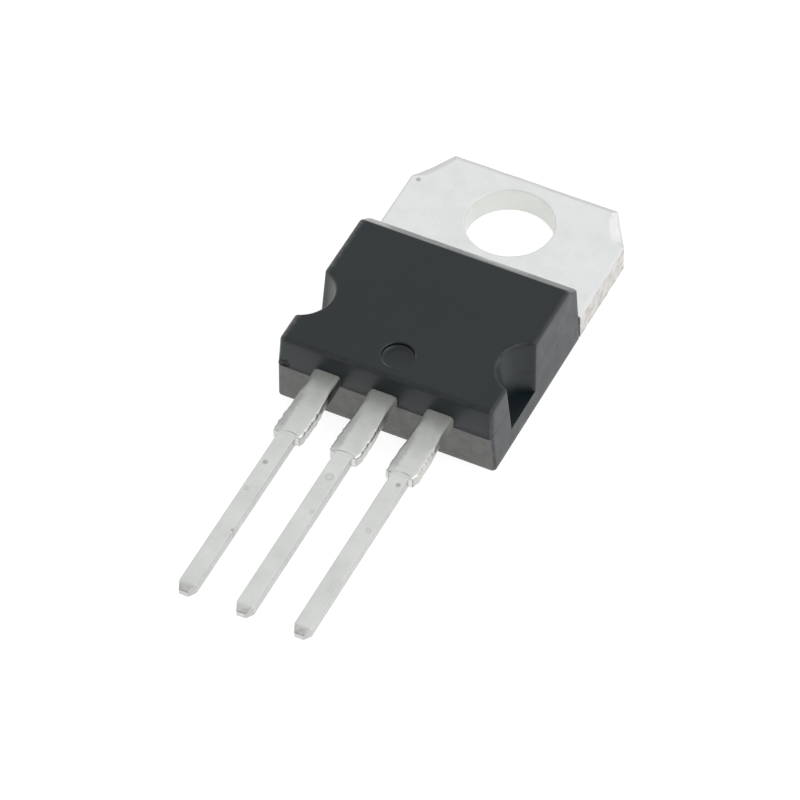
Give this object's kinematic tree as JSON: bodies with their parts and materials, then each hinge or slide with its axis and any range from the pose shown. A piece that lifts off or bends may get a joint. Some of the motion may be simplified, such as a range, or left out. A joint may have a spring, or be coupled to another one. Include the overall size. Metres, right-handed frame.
{
  "type": "power mosfet",
  "caption": "Through-hole power transistor: a black moulded body on a metal heat tab with a screw hole, with straight flat leads out of the opposite end.",
  "frame": {"origin": "centre of the screw hole, on the tab's mounting face", "axes": "+Z out of the mounting face towards the moulding's top, +Y towards the tab's free end, leads towards -Y, X across the part"},
  "size_m": [0.0098, 0.0273, 0.0036],
  "materials": {
    "mould_epoxy": "satin black moulded epoxy with a fine sparked texture",
    "tinned_copper": "matt tin plating over stamped copper",
    "silicon": "metallised silicon",
    "solder": "dull soft solder",
    "aluminium_wire": "drawn aluminium"
  },
  "bodies": {
    "root": {"mould_body": "mould_epoxy", "drain_frame": "tinned_copper", "gate_lead": "tinned_copper", "source_lead": "tinned_copper", "silicon_die": "silicon", "die_solder": "solder", "gate_wire": "aluminium_wire", "source_wire_inner": "aluminium_wire", "source_wire_outer": "aluminium_wire"}
  },
  "joints": []
}
